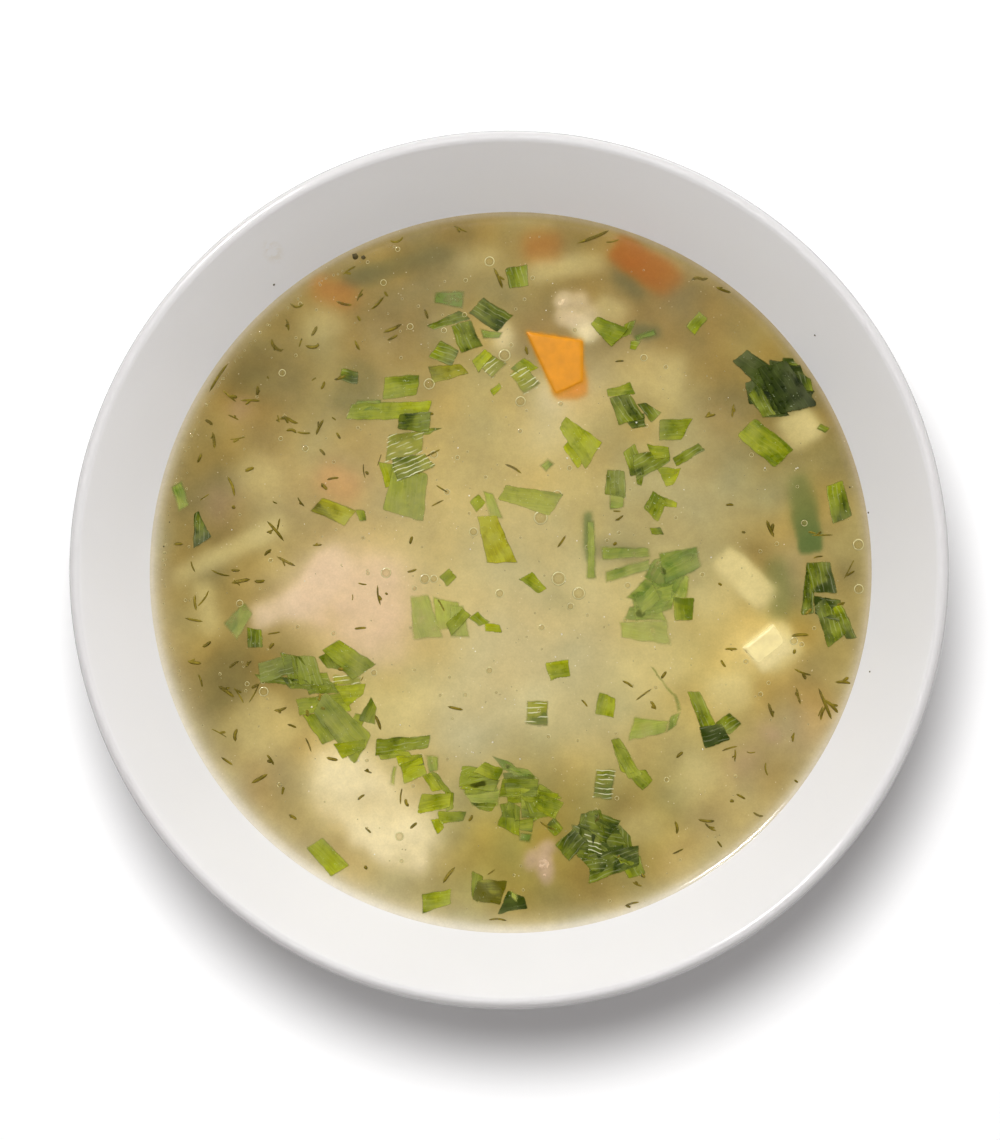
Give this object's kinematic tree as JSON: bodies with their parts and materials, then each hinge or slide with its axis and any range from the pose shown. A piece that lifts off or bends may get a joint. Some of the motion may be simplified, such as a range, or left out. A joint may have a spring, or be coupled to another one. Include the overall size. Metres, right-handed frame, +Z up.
{
  "type": "bowl of pork clear soup",
  "caption": "White porcelain bowl filled with clear pork soup: murky broth with carrot, potato, pork, cut spring onion leaves and dill.",
  "frame": {"origin": "middle of the foot ring, in the plane that the bowl rests on", "axes": "+Z up out of the bowl, +X to the right and +Y to the top as the picture shows it"},
  "size_m": [0.21, 0.21, 0.058],
  "materials": {
    "porcelain": "smooth white glaze, bare fired clay on the foot ring's face",
    "broth": "murky straw-coloured liquid with a wet, flat surface and small drops of fat",
    "carrot": "boiled, wet and bright orange",
    "potato": "boiled, wet and pale yellow",
    "pork": "boiled, pinkish beige and fibrous",
    "floret": "pale cream, lumpy and wet",
    "onion_pale": "limp, see-through pale green leaf",
    "onion_mid": "wet green leaf with fine ribs",
    "onion_bright": "wet yellow-green leaf with fine ribs",
    "onion_olive": "limp olive leaf with fine veins",
    "onion_ribbed": "green leaf with raised pale ribs that glint",
    "onion_dark": "wet dark green leaf",
    "onion_black": "folded leaf, nearly black green"
  },
  "bodies": {
    "root": {"bowl": "porcelain", "soup": "broth", "carrot": "carrot", "potato": "potato", "pork": "pork", "pale_floret": "floret", "onion_pale_01": "onion_pale", "onion_pale_02": "onion_pale", "onion_pale_03": "onion_pale", "onion_pale_04": "onion_pale", "onion_pale_05": "onion_pale", "onion_pale_06": "onion_pale", "onion_pale_07": "onion_pale", "onion_pale_08": "onion_pale", "onion_pale_09": "onion_pale", "onion_pale_10": "onion_pale", "onion_mid_01": "onion_mid", "onion_mid_02": "onion_mid", "onion_mid_03": "onion_mid", "onion_mid_04": "onion_mid", "onion_mid_05": "onion_mid", "onion_mid_06": "onion_mid", "onion_mid_07": "onion_mid", "onion_mid_08": "onion_mid", "onion_mid_09": "onion_mid", "onion_mid_10": "onion_mid", "onion_mid_11": "onion_mid", "onion_bright_01": "onion_bright", "onion_bright_02": "onion_bright", "onion_bright_03": "onion_bright", "onion_bright_04": "onion_bright", "onion_bright_05": "onion_bright", "onion_bright_06": "onion_bright", "onion_olive_01": "onion_olive", "onion_olive_02": "onion_olive", "onion_olive_03": "onion_olive", "onion_ribbed_01": "onion_ribbed", "onion_ribbed_02": "onion_ribbed", "onion_ribbed_03": "onion_ribbed", "onion_dark_01": "onion_dark", "onion_dark_02": "onion_dark", "onion_dark_03": "onion_dark", "onion_dark_04": "onion_dark", "onion_dark_05": "onion_dark", "onion_dark_06": "onion_dark", "onion_dark_07": "onion_dark", "onion_dark_08": "onion_dark", "onion_dark_09": "onion_dark", "onion_dark_10": "onion_dark", "onion_dark_11": "onion_dark", "onion_dark_12": "onion_dark", "onion_dark_13": "onion_dark", "onion_dark_14": "onion_dark", "onion_dark_15": "onion_dark", "onion_dark_16": "onion_dark", "onion_black_01": "onion_black", "onion_black_02": "onion_black"}
  },
  "joints": []
}
